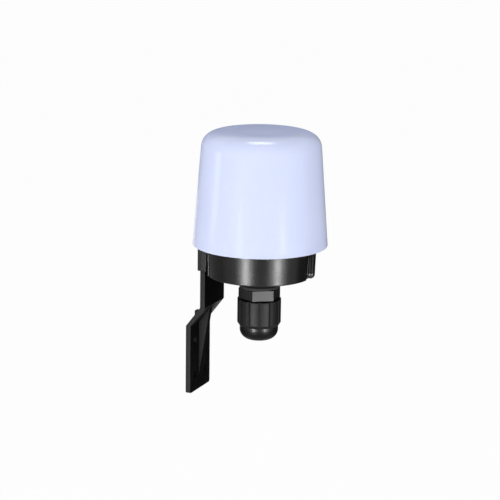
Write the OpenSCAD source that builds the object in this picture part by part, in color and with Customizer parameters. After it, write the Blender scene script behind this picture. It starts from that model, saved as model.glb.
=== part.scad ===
// Photocell switch for an outdoor light: a frosted dome on a round base, a cable gland below and a plug-in
// wall bracket behind. Millimetres. Origin at the centre of the bracket's four screw holes, on the wall
// plane. X runs along the wall, +Y points into the wall, +Z is up.

/* [Cover] */
// Outer radius of the cover at its rim
cover_r = 41.7; // [40:0.1:46]
// Height of the cover from its rim to the top of the crown
cover_h = 71.7; // [62:0.1:85]
// Draft of the cover's side, in degrees
cover_draft = 4.55; // [2:0.05:6]
// Radius of the rounded shoulder
cover_shoulder_r = 9.4; // [6:0.1:12]
// Radius of the shallow spherical crown
cover_crown_r = 200; // [150:1:300]
// Wall thickness of the cover
cover_wall = 2; // [1.5:0.1:2.4]
// Rounding of the rim's outer edge
rim_round = 0.6; // [0.2:0.1:1]
// Height of the snap bead inside the rim
snap_h = 1; // [0.6:0.1:1.4]
// How far the snap bead hooks under the base's flange
snap_hook = 0.5; // [0.3:0.05:0.8]
// Gap between the cover's rim and the wall
wall_gap = 1.5; // [0.5:0.1:4]

/* [Base] */
// Outer radius of the base at its bottom
base_r = 32.6; // [31:0.1:34]
// Draft of the base's side, in degrees
base_draft = 2.1; // [0.5:0.1:3]
// Height of the base that shows below the cover's rim
base_h = 19.2; // [17:0.1:24]
// Wall thickness of the base
base_wall = 2.4; // [1.8:0.1:3]
// Thickness of the base's floor
base_floor = 2.5; // [2:0.1:4]
// Rounding of the base's bottom edge
base_round = 0.8; // [0.3:0.1:1.5]
// Thickness of the flange that carries the cover
flange_t = 4.4; // [4:0.1:6]
// Radius of the neck that the gland screws against
neck_r = 12.8; // [12:0.1:14]
// Height of the neck below the base
neck_h = 6.2; // [3:0.1:9]
// Section radius of the cover's sealing ring
seal_r = 1; // [0.8:0.05:1.2]

/* [Latch boss and beads] */
// Radius of the half-round boss at the front of the base
boss_r = 2.6; // [2:0.1:3.2]
// How far the boss's centre stands outside the base's bottom edge
boss_out = 1; // [0.2:0.1:1.8]
// Height of the boss's rounded lower end above the base's bottom
boss_lift = 1; // [0.5:0.1:4]
// Radius of the beads beside the socket
bead_r = 1; // [0.6:0.1:1.4]
// Height of the beads' lower ends above the base's bottom
bead_lift = 0.4; // [0.2:0.1:3]

/* [Bracket] */
// Width of the bracket
bracket_w = 29.5; // [26:0.5:31]
// Thickness of the bracket's plates
plate_t = 3.15; // [2.6:0.05:3.6]
// Height of the lower plate, which lies on the wall
lower_h = 44; // [38:0.5:60]
// Height of the slanted step between the plates
step_h = 12.6; // [10:0.1:16]
// Height of the upper plate that shows below the base
upper_h = 22.1; // [18:0.1:30]
// Length of the upper plate inside the socket, above the base's bottom
plug_h = 17; // [14:0.1:17.5]
// Rounding of the bends
bend_r = 1; // [0.4:0.1:1.5]
// Rounding of the plate's lower corners
corner_r = 1.5; // [0.5:0.1:3]
// Diameter of the screw holes
hole_d = 4.5; // [4:0.1:5]
// Spacing of the screw holes along the wall
hole_dx = 16; // [14:0.5:18]
// Spacing of the screw holes up the wall
hole_dz = 22; // [18:0.5:26]
// Thickness of the gusset and the back web
rib_t = 3.8; // [2:0.1:5]
// Height of the gusset's foot above the plate's lower edge
rib_foot = 9.3; // [6:0.1:14]
// How far the gusset stands out at its top
rib_out = 7.4; // [5:0.1:9]
// Height of the web behind the step
web_h = 6.8; // [4:0.1:9]

/* [Socket] */
// How far the plate is set in from the base's bottom edge
socket_set = 2.1; // [1.8:0.1:3.2]
// Thickness of the socket's outer wall
socket_wall = 1.65; // [1.2:0.05:2.4]
// Thickness of the socket's end cheeks
cheek_t = 2.3; // [1.6:0.1:3]
// Height of the socket's lower edge above the base's bottom
socket_lift = 2.2; // [1.5:0.1:8]
// Thickness of the wall between the slot and the inside of the base
slot_wall = 1.8; // [1.4:0.1:2.4]
// Clearance around the plugged-in plate
plug_gap = 0.1; // [0.05:0.01:0.2]

/* [Gland] */
// Radius of the gland's two threads
thread_r = 9.3; // [9:0.05:9.6]
// Hexagon of the gland body across its flats
hex_af = 22.8; // [21.5:0.1:24]
// Height of the gland body's hexagon
hex_h = 6.9; // [5:0.1:9]
// Turn of the hexagon about the gland's axis, in degrees
hex_turn = 4; // [-30:1:30]
// Thickness of the rubber washer above the hexagon
washer_t = 1.7; // [1:0.1:2.5]
// Outer radius of the rubber washer
washer_r = 12.5; // [11:0.1:12.7]
// Length of the thread inside the base, above the neck's lower face
inner_thread_l = 15.2; // [14:0.1:18]
// Length of the nut's thread below the hexagon
outer_thread_l = 12.2; // [10:0.1:14]
// Bore of the gland body
gland_bore_r = 6; // [5.5:0.1:6.4]
// Height of the locknut
locknut_h = 4; // [3:0.1:5]
// Hexagon of the locknut across its flats
locknut_af = 24; // [23:0.1:27]
// Outer radius of the rubber grommet
grommet_r = 7.4; // [7:0.1:7.8]
// Length of the rubber grommet
grommet_l = 12; // [10:0.1:13]
// Depth of the grommet's seat in the gland body
seat_depth = 6; // [4:0.1:8]
// Thickness of the thrust ring
thrust_t = 2; // [1.5:0.1:2.5]
// Radius of the cable hole in the nut
cable_r = 4.6; // [4:0.1:5]

/* [Gland nut] */
// Radius of the nut over its grip ribs
nut_r = 13.6; // [12.8:0.05:14]
// Length of the nut
nut_l = 25.9; // [24:0.1:28]
// Length of the ribbed grip
grip_l = 14.9; // [12:0.1:16]
// Length of the slope at the lower end of the ribs
grip_slope = 2; // [1:0.1:2.6]
// Radius of the nut's domed end where it leaves the ribs
nut_dome_r = 12; // [11.2:0.1:12.4]
// Radius of the rounding of the domed end
nut_round = 6.6; // [5:0.1:6.8]
// Number of grip ribs
rib_count = 12; // [8:1:18]
// Radius of the flutes between the ribs
flute_r = 1.6; // [1.2:0.1:3]
// Depth of the flutes between the ribs
flute_depth = 0.5; // [0.2:0.05:0.8]
// Turn of the flutes about the gland's axis with the nut tight, in degrees
flute_turn = -6; // [-30:1:30]
// Gap between the tightened nut and the hexagon
nut_gap = 0.3; // [0.2:0.05:0.8]

/* [Circuit board] */
// Thickness of the board
board_t = 1.6; // [1:0.1:2]
// Height of the board above the flange
board_lift = 0.5; // [0.3:0.1:2]
// Distance of the board's edge from the flange's
board_in = 4; // [2:0.1:5]
// Radius of the posts under the board
post_r = 3.2; // [2.8:0.1:3.8]
// Distance of the posts' centres from the flat inner wall
post_in = 5; // [4:0.1:6]
// Radius of the board screws' shanks
screw_r = 1.2; // [1:0.05:1.4]
// Length of the board screws' shanks
screw_l = 8; // [6:0.5:10]
// Radius of the board screws' heads
screw_head_r = 2.8; // [2.4:0.1:3]
// Height of the board screws' heads
screw_head_h = 2; // [1.5:0.1:2.5]
// Radius of the hole that the wires pass through
wire_hole_r = 8; // [7:0.1:8.5]
// Radius of the component leads
lead_r = 0.4; // [0.3:0.05:0.5]
// Space between neighbouring components
part_gap = 0.8; // [0.5:0.1:1]

/* [Components] */
// Width of the relay
relay_w = 15.5; // [14:0.1:16]
// Length of the relay
relay_l = 19; // [16:0.1:19.4]
// Height of the relay
relay_h = 15.3; // [12:0.1:20]
// Thickness of the film capacitor
film_w = 8; // [6:0.1:8.6]
// Length of the film capacitor
film_l = 18; // [14:0.1:18.6]
// Height of the film capacitor
film_h = 14; // [10:0.1:18]
// Depth of the terminal block
terminal_d = 8.2; // [7.4:0.1:9]
// Height of the terminal block
terminal_h = 10; // [8:0.1:12]
// Pitch of the terminals
terminal_pitch = 5; // [4.8:0.1:5.1]
// Radius of the terminal screws
terminal_screw_r = 1.8; // [1.5:0.1:2]
// Radius of the smoothing capacitor
smooth_r = 4; // [3.5:0.1:4.2]
// Height of the smoothing capacitor
smooth_h = 12; // [10:0.5:16]
// Radius of the varistor's disc
varistor_r = 4.4; // [3.5:0.1:4.6]
// Thickness of the varistor's disc
varistor_t = 3.6; // [3:0.1:4]
// Radius of the diodes' bodies
diode_r = 1.35; // [1:0.05:1.5]
// Length of the diodes' bodies
diode_l = 5.2; // [4:0.1:5.4]
// Radius of the resistors' bodies
resistor_r = 1.2; // [0.9:0.05:1.3]
// Length of the resistors' bodies
resistor_l = 6.3; // [5:0.1:6.6]
// Radius of the transistor's body
transistor_r = 2.3; // [2:0.1:2.4]
// Radius of the photoresistor's disc
photo_r = 2.6; // [2.2:0.1:3]
// Height of the photoresistor above the board
photo_lift = 14; // [8:0.5:20]

/* [Hidden] */
$fn = 96;
// Overlap that carries a cut past a face
past = 1;
// Running clearance of the nut on its thread, and of the ring in the nut
thread_gap = 0.08;
ring_gap = 0.3;
// Clearance of a screw, a lead or a cover on what carries it, and of the sealing ring in its groove
fit_gap = 0.15;
seal_gap = 0.1;
// Play between the thrust ring and the nut's shoulder
ring_seat = 0.05;
// Clearance between the flange and the cover, and of a screw that cuts its own thread
flange_gap = 0.2;
bite_gap = 0.02;
// How far a rib or a lead reaches into what carries it
sunk = 0.5;
// Directions of the board's three screws
screw_turns = [90, 210, 330];
// How far the thrust ring stands out past the grommet
ring_out = 0.9;

// Main planes, seen from the wall
axis_to_wall = cover_r + wall_gap;
base_z = lower_h / 2 + step_h + upper_h;
plate_front = base_r - socket_set;
step_out = axis_to_wall - plate_front - plate_t;

// Heights above the base's bottom
rim_z = base_h;
flange_z = rim_z + snap_h + fit_gap;
flange_top = flange_z + flange_t;
board_z = flange_top + board_lift;
board_top = board_z + board_t;
base_r_top = base_r + flange_z * tan(base_draft);

// Radii of the base, the flange and its seal
cover_in_r = cover_r - cover_wall;
seal_z = flange_z + flange_t / 2;
seal_ring_r = cover_in_r - (seal_z - rim_z) * tan(cover_draft) - fit_gap - seal_r;
flange_r = cover_in_r - (flange_top - rim_z) * tan(cover_draft) - flange_gap;
hook_r = flange_r - snap_hook;
cup_r = base_r - base_wall;
cup_flat = plate_front - plug_gap - slot_wall;
board_r = flange_r - board_in;
screw_ring = cup_flat - post_in;
socket_half_w = bracket_w / 2 + plug_gap + cheek_t;
socket_face = plate_front + plate_t + plug_gap + socket_wall;

// Heights of the gland's pieces below the base's bottom
washer_z = -neck_h - washer_t;
hex_z = washer_z - hex_h;
thread_end = hex_z - outer_thread_l;
seat_z = thread_end + seat_depth;
thrust_top = seat_z - grommet_l;
thrust_z = thrust_top - thrust_t;
nut_top = hex_z - nut_gap;
nut_end = nut_top - nut_l;
nut_bore_r = thread_r + thread_gap;
thrust_r = grommet_r + ring_out;

// Puts a piece on the switch's upright axis, with z counted from the base's bottom
module on_axis() { translate([0, -axis_to_wall, base_z]) children(); }

// Puts a piece on the board's upper face
module on_board() { on_axis() translate([0, 0, board_top]) children(); }

// Centre of the shoulder's arc: it touches the drafted side and the crown's sphere
function shoulder_in(r, round) = r - round / cos(cover_draft);
function shoulder_z(r, h, round, crown) =
    let (t = tan(cover_draft), a = t * t + 1, in_r = shoulder_in(r, round), c = h - crown,
        b = in_r * t + c, d = in_r * in_r + c * c - (crown - round) * (crown - round))
    (b + sqrt(b * b - a * d)) / a;

// Half section of a dome: drafted side, round shoulder and spherical crown, with a skirt below the rim
module dome_section(r, h, round, crown, skirt) {
    t = tan(cover_draft);
    sz = shoulder_z(r, h, round, crown);
    sr = shoulder_in(r, round) - sz * t;
    turn = atan2(sz - h + crown, sr);
    intersection() {
        union() {
            translate([sr, sz]) circle(round);
            polygon([[0, -skirt], [r + skirt * t, -skirt],
                [sr + round * cos(cover_draft), sz + round * sin(cover_draft)],
                [sr + round * cos(turn), sz + round * sin(turn)], [0, sz]]);
            intersection() {
                translate([0, h - crown]) circle(crown, $fn = 720);
                translate([0, sz - round]) square([sr + round * cos(turn), h]);
            }
        }
        translate([0, -skirt]) square([r + h, h + 2 * skirt]);
    }
}

// What a rounding takes off a square corner: the corner lies at the origin, the material on the side given
module corner_cut(r, side) {
    difference() {
        square(2 * r, center = true);
        translate(side * r) circle(r);
    }
}

module dome_cover() {
    lead_in = snap_hook * 0.6;
    color([0.87, 0.89, 0.98]) on_axis() translate([0, 0, rim_z]) rotate_extrude() difference() {
        dome_section(cover_r, cover_h, cover_shoulder_r, cover_crown_r, 0);
        // Inside, with the snap bead left standing at the rim
        difference() {
            dome_section(cover_in_r, cover_h - cover_wall, cover_shoulder_r - cover_wall,
                cover_crown_r - cover_wall, past);
            polygon([[hook_r, lead_in], [hook_r, snap_h - lead_in], [hook_r + lead_in, snap_h],
                [cover_r, snap_h], [cover_r, 0], [hook_r + lead_in, 0]]);
        }
        translate([cover_r, 0]) corner_cut(rim_round, [-1, 1]);
    }
}

// A vertical half-round bead with a ball end, from its lower tip up to the flange
module bead(r, lift) {
    translate([0, 0, lift + r]) {
        sphere(r);
        cylinder(h = flange_z - lift - r + past, r = r);
    }
}

module socket_block() {
    depth = socket_face - cup_flat;
    // The outer corners are cut back round, to keep inside the cover's snap bead
    translate([0, 0, socket_lift]) linear_extrude(flange_z - socket_lift + past) intersection() {
        translate([-socket_half_w, cup_flat]) square([2 * socket_half_w, depth]);
        circle(hook_r - fit_gap, $fn = 240);
    }
}

module base_section() {
    difference() {
        polygon([[thread_r, -neck_h], [neck_r, -neck_h], [neck_r, 0], [base_r, 0], [base_r_top, flange_z],
            [flange_r, flange_z], [flange_r, flange_top], [cup_r, flange_top], [cup_r, base_floor],
            [thread_r, base_floor]]);
        translate([base_r, 0]) corner_cut(base_round, [-1, 1]);
        // Groove for the sealing ring
        translate([seal_ring_r - seal_r - seal_gap, seal_z - seal_r - seal_gap])
            square([2 * seal_r + past, 2 * seal_r + 2 * seal_gap]);
    }
}

module base_housing() {
    bead_x = socket_half_w + bead_r * 0.6;
    color([0.1, 0.1, 0.11]) on_axis() difference() {
        union() {
            rotate_extrude() base_section();
            socket_block();
            // Flat inner wall behind the bracket's plate
            intersection() {
                translate([-base_r, cup_flat, 0]) cube([2 * base_r, base_r, flange_top]);
                cylinder(h = flange_top, r = cup_r + base_wall / 2);
            }
            translate([0, -base_r - boss_out, 0]) bead(boss_r, boss_lift);
            for (s = [-1, 1])
                translate([s * bead_x, sqrt(base_r * base_r - bead_x * bead_x), 0]) bead(bead_r, bead_lift);
            for (a = screw_turns) rotate(a) translate([screw_ring, 0, base_floor / 2])
                cylinder(h = board_z - base_floor / 2, r = post_r);
        }
        // Slot for the bracket's plate, open below
        translate([-bracket_w / 2 - plug_gap, plate_front - plug_gap, -past])
            cube([bracket_w + 2 * plug_gap, plate_t + 2 * plug_gap, plug_h + plug_gap + past]);
        translate([0, 0, -neck_h - past])
            cylinder(h = neck_h + base_floor + 2 * past, r = thread_r + fit_gap);
        for (a = screw_turns) rotate(a) translate([screw_ring, 0, board_z - screw_l - past])
            cylinder(h = screw_l + 2 * past, r = screw_r + bite_gap);
    }
}

module cover_seal() {
    color([0.2, 0.2, 0.2]) on_axis() translate([0, 0, seal_z])
        rotate_extrude() translate([seal_ring_r, 0]) circle(seal_r);
}

// Outline with each corner replaced by an arc of the given radius
function unit(v) = v / norm(v);
function rounded(points, radii, steps = 6) = [for (i = [0 : len(points) - 1])
    let (n = len(points), p = points[i], r = radii[i], u = unit(points[(i + n - 1) % n] - p),
        v = unit(points[(i + 1) % n] - p), half = acos(u * v) / 2, reach = r / tan(half),
        centre = p + unit(u + v) * r / sin(half), from = p + u * reach - centre,
        side = sign(u[0] * v[1] - u[1] * v[0]), sweep = side * (180 - 2 * half))
    for (k = [0 : r > 0 ? steps : 0])
        r > 0 ? centre + [from[0] * cos(sweep * k / steps) + from[1] * sin(sweep * k / steps),
            from[1] * cos(sweep * k / steps) - from[0] * sin(sweep * k / steps)] : p];

// Side view of the bracket: y towards the wall, then z
module bracket_profile() {
    low = -lower_h / 2;
    bend = lower_h / 2;
    top = base_z + plug_h;
    out = -step_out;
    polygon(rounded([[0, low], [0, bend], [out, bend + step_h], [out, top], [out - plate_t, top],
        [out - plate_t, bend + step_h], [-plate_t, bend], [-plate_t, low]],
        [0, bend_r, bend_r, 0, 0, bend_r, bend_r, 0]));
}

module bracket_ribs() {
    bend = lower_h / 2;
    slope = step_h / step_out;
    // Gusset in front, under the step, and web behind it
    top = bend + rib_out * slope;
    polygon([[-plate_t + sunk, -bend + rib_foot], [-plate_t, -bend + rib_foot], [-plate_t - rib_out, top],
        [-plate_t - rib_out + sunk, top + sunk], [-plate_t + sunk, bend]]);
    polygon([[0, bend - past], [0, bend + web_h], [-web_h / slope - sunk, bend + web_h],
        [-sunk, bend - past]]);
}

module bracket_front() {
    difference() {
        translate([-bracket_w / 2, 0]) square([bracket_w, base_z + plug_h + lower_h / 2]);
        for (s = [-1, 1]) translate([s * bracket_w / 2, 0]) corner_cut(corner_r, [-s, 1]);
    }
}

module along_wall(w) {
    rotate([90, 0, 90]) translate([0, 0, -w / 2]) linear_extrude(w) children();
}

module mounting_bracket() {
    color([0.09, 0.09, 0.1]) difference() {
        union() {
            intersection() {
                along_wall(bracket_w) bracket_profile();
                translate([0, past, -lower_h / 2]) rotate([90, 0, 0])
                    linear_extrude(axis_to_wall + past) bracket_front();
            }
            along_wall(rib_t) bracket_ribs();
        }
        for (sx = [-1, 1], sz = [-1, 1]) translate([sx * hole_dx / 2, past, sz * hole_dz / 2])
            rotate([90, 0, 0]) cylinder(h = plate_t + 2 * past, d = hole_d);
    }
}

module hexagon(af, h) {
    rotate(hex_turn) cylinder(h = h, r = af / 2 / cos(30), $fn = 6);
}

module gland_body() {
    color([0.08, 0.08, 0.08]) on_axis() difference() {
        union() {
            translate([0, 0, thread_end]) cylinder(h = outer_thread_l + past, r = thread_r);
            translate([0, 0, hex_z]) hexagon(hex_af, hex_h);
            translate([0, 0, washer_z - past]) cylinder(h = washer_t + inner_thread_l + past, r = thread_r);
        }
        translate([0, 0, thread_end - past])
            cylinder(h = past + outer_thread_l + hex_h + washer_t + inner_thread_l + past, r = gland_bore_r);
        translate([0, 0, thread_end - past]) cylinder(h = seat_depth + past, r = grommet_r + fit_gap);
    }
}

module gland_washer() {
    color([0.16, 0.16, 0.16]) on_axis() translate([0, 0, washer_z]) difference() {
        cylinder(h = washer_t, r = washer_r);
        translate([0, 0, -past]) cylinder(h = washer_t + 2 * past, r = thread_r + fit_gap);
    }
}

module gland_locknut() {
    color([0.1, 0.1, 0.1]) on_axis() translate([0, 0, base_floor]) difference() {
        hexagon(locknut_af, locknut_h);
        translate([0, 0, -past]) cylinder(h = locknut_h + 2 * past, r = thread_r + thread_gap);
    }
}

module gland_seal() {
    taper = 1.2;
    color([0.2, 0.2, 0.21]) on_axis() rotate_extrude()
        polygon([[cable_r, seat_z], [grommet_r, seat_z], [grommet_r, thrust_top + taper],
            [grommet_r - taper, thrust_top], [cable_r, thrust_top]]);
}

module gland_thrust_ring() {
    color([0.75, 0.75, 0.72]) on_axis() translate([0, 0, thrust_z]) difference() {
        cylinder(h = thrust_t, r = thrust_r);
        translate([0, 0, -past]) cylinder(h = thrust_t + 2 * past, r = cable_r + ring_gap);
    }
}

// Half section of the nut: ribbed grip, slope at the ribs' ends, domed end, and the stepped bore
module nut_section() {
    grip_end = nut_top - grip_l;
    slope_end = grip_end - grip_slope;
    dome_step = 0.3;
    pocket_r = thrust_r + ring_gap;
    pocket_z = thrust_z - ring_seat;
    funnel = 2;
    difference() {
        polygon([[0, nut_top], [nut_r, nut_top], [nut_r, grip_end], [nut_dome_r + dome_step, slope_end],
            [nut_dome_r, slope_end], [nut_dome_r, nut_end], [0, nut_end]]);
        translate([nut_dome_r, nut_end]) corner_cut(nut_round, [-1, 1]);
        polygon([[-past, nut_top + past], [nut_bore_r, nut_top + past], [nut_bore_r, thrust_top + ring_gap],
            [pocket_r, thrust_top + ring_gap], [pocket_r, pocket_z], [cable_r + funnel, pocket_z],
            [cable_r, pocket_z - funnel], [cable_r, nut_end - past], [-past, nut_end - past]]);
    }
}

module gland_nut() {
    color([0.07, 0.07, 0.07]) on_axis() difference() {
        rotate_extrude() nut_section();
        for (i = [0 : rib_count - 1]) rotate(flute_turn + i * 360 / rib_count)
            translate([nut_r + flute_r - flute_depth, 0, nut_top - grip_l - grip_slope - past])
                cylinder(h = grip_l + grip_slope + 2 * past, r = flute_r);
    }
}

// Components: each has a place on the board and the places of its leads around it, kept clear of the wire
// hole, of the board's screws and of one another
relay_low = 5.5;
relay_at = [wire_hole_r + part_gap + relay_w / 2, relay_l / 2 - relay_low];
relay_pin_in = [1.75, 2.4];
relay_pin_step = 2;
relay_px = relay_w / 2 - relay_pin_in[0];
relay_py = relay_l / 2 - relay_pin_in[1];
relay_pins = [[0, -relay_py], [-relay_px, relay_pin_step - relay_py], [relay_px, relay_pin_step - relay_py],
    [-relay_px, relay_py], [relay_px, relay_py]];
film_low = 5.1;
film_room = 3.5;
film_pin_in = 1.5;
film_at = [-wire_hole_r - film_room - film_w / 2, film_l / 2 - film_low];
film_pins = [for (s = [-1, 1]) [0, s * (film_l / 2 - film_pin_in)]];
terminal_room = 3;
terminal_skin = 0.2;
terminal_w = 3 * terminal_pitch + 2 * terminal_skin;
terminal_at = [0, -wire_hole_r - terminal_room - terminal_d / 2];
terminal_pins = [for (i = [-1 : 1]) [i * terminal_pitch, 0]];
smooth_room = 2.5;
smooth_pitch = 3.5;
smooth_at = [film_at[0] + film_w / 2 + smooth_room, film_at[1] + film_l / 2 + part_gap + smooth_r];
smooth_pins = [for (s = [-1, 1]) [s * smooth_pitch / 2, 0]];
photo_room = 2.4;
photo_pitch = 2.6;
photo_at = smooth_at - [smooth_r + photo_room + photo_r, 0];
photo_pins = [for (s = [-1, 1]) [s * photo_pitch / 2, 0]];
varistor_room = 3;
varistor_pitch = 5;
varistor_at = terminal_at - [0, terminal_d / 2 + varistor_room + varistor_t / 2];
varistor_pins = [for (s = [-1, 1]) [s * varistor_pitch / 2, 0]];
bend_room = 2;
diode_room = 2;
diode_low = 1.4;
diode_span = diode_l + bend_room;
diode_x = terminal_w / 2 + diode_room + diode_r;
diode_step = 2 * diode_r + part_gap;
diode_y = terminal_at[1] - diode_low - diode_r;
diodes_at = [for (s = [-1, 1], i = [0, 1]) [s * (diode_x + i * diode_step), diode_y]];
transistor_room = [2.8, 4];
transistor_pitch = 1.27;
transistor_at = [relay_at[0] - relay_w / 2 - transistor_room[0] - transistor_r,
    wire_hole_r + transistor_room[1] + transistor_r];
transistor_pins = [[-transistor_pitch, 0], [0, transistor_pitch], [transistor_pitch, 0]];
resistor_room = 2;
resistor_span = resistor_l + bend_room;
resistor_step = 2 * resistor_r + part_gap;
resistor_x = relay_at[0];
resistor_y = relay_at[1] + relay_l / 2 + resistor_room + resistor_r;
resistors_at = [[resistor_x, resistor_y], [resistor_x, resistor_y + resistor_step],
    [-resistor_span / 2 - lead_r, wire_hole_r + resistor_room + resistor_r]];
zener_at = [resistor_x - diode_span / 2, resistor_y + resistor_step + resistor_r + part_gap + diode_r];

function pins_at(at, pins) = [for (p = pins) at + p];
function ends(at, span, along) = [at - along * span / 2, at + along * span / 2];
all_pins = concat(pins_at(relay_at, relay_pins), pins_at(film_at, film_pins),
    pins_at(terminal_at, terminal_pins), pins_at(smooth_at, smooth_pins), pins_at(varistor_at, varistor_pins),
    pins_at(transistor_at, transistor_pins), pins_at(photo_at, photo_pins),
    ends(zener_at, diode_span, [1, 0]),
    [for (at = diodes_at) each ends(at, diode_span, [0, 1])],
    [for (at = resistors_at) each ends(at, resistor_span, [1, 0])]);

// Height of a component's underside above the board
stand_off = 0.3;
lead_tail = 1.2;

// Straight leads from a height above the board down through it, with a tail below
module leads(pins, height) {
    tail = board_t + lead_tail;
    for (p = pins) translate([p[0], p[1], -tail]) cylinder(h = tail + height, r = lead_r, $fn = 24);
}

// A round body lying on the board, with its leads bent down through it
module axial_part(r, l, span) {
    axis_h = r + stand_off;
    translate([0, 0, axis_h]) rotate([0, 90, 0]) {
        translate([0, 0, -l / 2]) cylinder(h = l, r = r);
        translate([0, 0, -span / 2]) cylinder(h = span, r = lead_r, $fn = 24);
    }
    for (s = [-1, 1]) translate([s * span / 2, 0, axis_h]) sphere(lead_r, $fn = 24);
    leads([[-span / 2, 0], [span / 2, 0]], axis_h);
}

// Upright box with rounded vertical edges, standing just off the board
module upright_box(size, round) {
    translate([0, 0, stand_off]) linear_extrude(size[2] - stand_off) difference() {
        square([size[0], size[1]], center = true);
        for (sx = [-1, 1], sy = [-1, 1])
            translate([sx * size[0] / 2, sy * size[1] / 2]) corner_cut(round, [-sx, -sy]);
    }
}

module circuit_board() {
    color([0.16, 0.36, 0.2]) on_axis() translate([0, 0, board_z]) difference() {
        cylinder(h = board_t, r = board_r);
        translate([0, 0, -past]) linear_extrude(board_t + 2 * past) {
            circle(wire_hole_r);
            for (a = screw_turns) rotate(a) translate([screw_ring, 0]) circle(screw_r + fit_gap);
            for (p = all_pins) translate(p) circle(lead_r + fit_gap, $fn = 24);
        }
    }
}

module board_screw() {
    slot = [3.4, 0.7, 1];
    difference() {
        union() {
            translate([0, 0, past - board_t - screw_l]) cylinder(h = screw_l + board_t, r = screw_r);
            cylinder(h = screw_head_h, r = screw_head_r);
        }
        // Cross recess
        for (turn = [0, 90]) rotate(turn) translate([-slot[0] / 2, -slot[1] / 2, screw_head_h - slot[2]])
            cube(slot + [0, 0, past]);
    }
}

module board_screws() {
    color([0.7, 0.71, 0.73]) on_board() for (a = screw_turns)
        rotate(a) translate([screw_ring, 0]) board_screw();
}

module relay() {
    color([0.12, 0.25, 0.55]) on_board() translate(relay_at) {
        upright_box([relay_w, relay_l, relay_h], 0.8);
        leads(relay_pins, stand_off + sunk);
    }
}

module film_capacitor() {
    color([0.8, 0.68, 0.2]) on_board() translate(film_at) {
        upright_box([film_w, film_l, film_h], 0.6);
        leads(film_pins, stand_off + sunk);
    }
}

// Depth of the terminals' screw wells, and radius and height of their wire holes
well_depth = 5;
wire_r = 1.6;
wire_z = 3;

module terminal_block() {
    color([0.15, 0.45, 0.25]) on_board() translate(terminal_at) difference() {
        union() {
            upright_box([terminal_w, terminal_d, terminal_h], 0.4);
            leads(terminal_pins, stand_off + sunk);
        }
        for (p = terminal_pins) translate(p) {
            translate([0, 0, terminal_h - well_depth])
                cylinder(h = well_depth + past, r = terminal_screw_r + fit_gap);
            translate([0, -terminal_d / 2 - past, wire_z]) rotate([-90, 0, 0])
                cylinder(h = terminal_d / 2 + 2 * past, r = wire_r);
        }
    }
}

module terminal_screws() {
    screw_h = 4;
    slot = [0.7, 0.8];
    color([0.72, 0.72, 0.7]) on_board() for (p = terminal_pins)
        translate(terminal_at + p) translate([0, 0, terminal_h - well_depth]) difference() {
            cylinder(h = screw_h, r = terminal_screw_r);
            translate([-terminal_screw_r - past, -slot[0] / 2, screw_h - slot[1]])
                cube([2 * terminal_screw_r + 2 * past, slot[0], slot[1] + past]);
        }
}

module smoothing_capacitor() {
    groove_r = 0.5;
    groove_z = 1.8;
    color([0.1, 0.12, 0.2]) on_board() translate(smooth_at) {
        translate([0, 0, stand_off]) rotate_extrude() difference() {
            square([smooth_r, smooth_h - stand_off]);
            translate([smooth_r + groove_r / 2, groove_z]) circle(groove_r, $fn = 24);
        }
        leads(smooth_pins, stand_off + sunk);
    }
}

module varistor() {
    edge = 0.6;
    lift = 0.8;
    color([0.1, 0.3, 0.6]) on_board() translate(varistor_at) {
        translate([0, varistor_t / 2, varistor_r + lift]) rotate([90, 0, 0]) rotate_extrude() difference() {
            square([varistor_r, varistor_t]);
            translate([varistor_r, 0]) corner_cut(edge, [-1, 1]);
            translate([varistor_r, varistor_t]) corner_cut(edge, [-1, -1]);
        }
        leads(varistor_pins, varistor_r + lift);
    }
}

module rectifier_diodes() {
    color([0.12, 0.12, 0.12]) on_board() for (at = diodes_at) translate(at) rotate(90)
        axial_part(diode_r, diode_l, diode_span);
}

module zener_diode() {
    color([0.75, 0.4, 0.2]) on_board() translate(zener_at) axial_part(diode_r, diode_l, diode_span);
}

module transistor() {
    flat = transistor_r * 0.6;
    lift = 2.5;
    body_h = 4.7;
    color([0.13, 0.13, 0.13]) on_board() translate(transistor_at) {
        translate([0, 0, lift]) linear_extrude(body_h) intersection() {
            circle(transistor_r);
            translate([-transistor_r, -flat]) square([2 * transistor_r, flat + transistor_r]);
        }
        leads(transistor_pins, lift + sunk);
    }
}

module resistors() {
    color([0.75, 0.66, 0.5]) on_board() for (at = resistors_at) translate(at)
        axial_part(resistor_r, resistor_l, resistor_span);
}

module photoresistor() {
    disc_h = 2.2;
    color([0.8, 0.45, 0.3]) on_board() translate(photo_at) {
        translate([0, 0, photo_lift]) cylinder(h = disc_h, r = photo_r);
        leads(photo_pins, photo_lift + sunk);
    }
}

dome_cover();
base_housing();
cover_seal();
mounting_bracket();
gland_body();
gland_washer();
gland_locknut();
gland_seal();
gland_thrust_ring();
gland_nut();
circuit_board();
board_screws();
relay();
photoresistor();
terminal_block();
terminal_screws();
film_capacitor();
smoothing_capacitor();
varistor();
rectifier_diodes();
zener_diode();
transistor();
resistors();
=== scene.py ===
import math

import bmesh
import bpy
from mathutils import Matrix, Vector
from mathutils.geometry import interpolate_bezier


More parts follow.
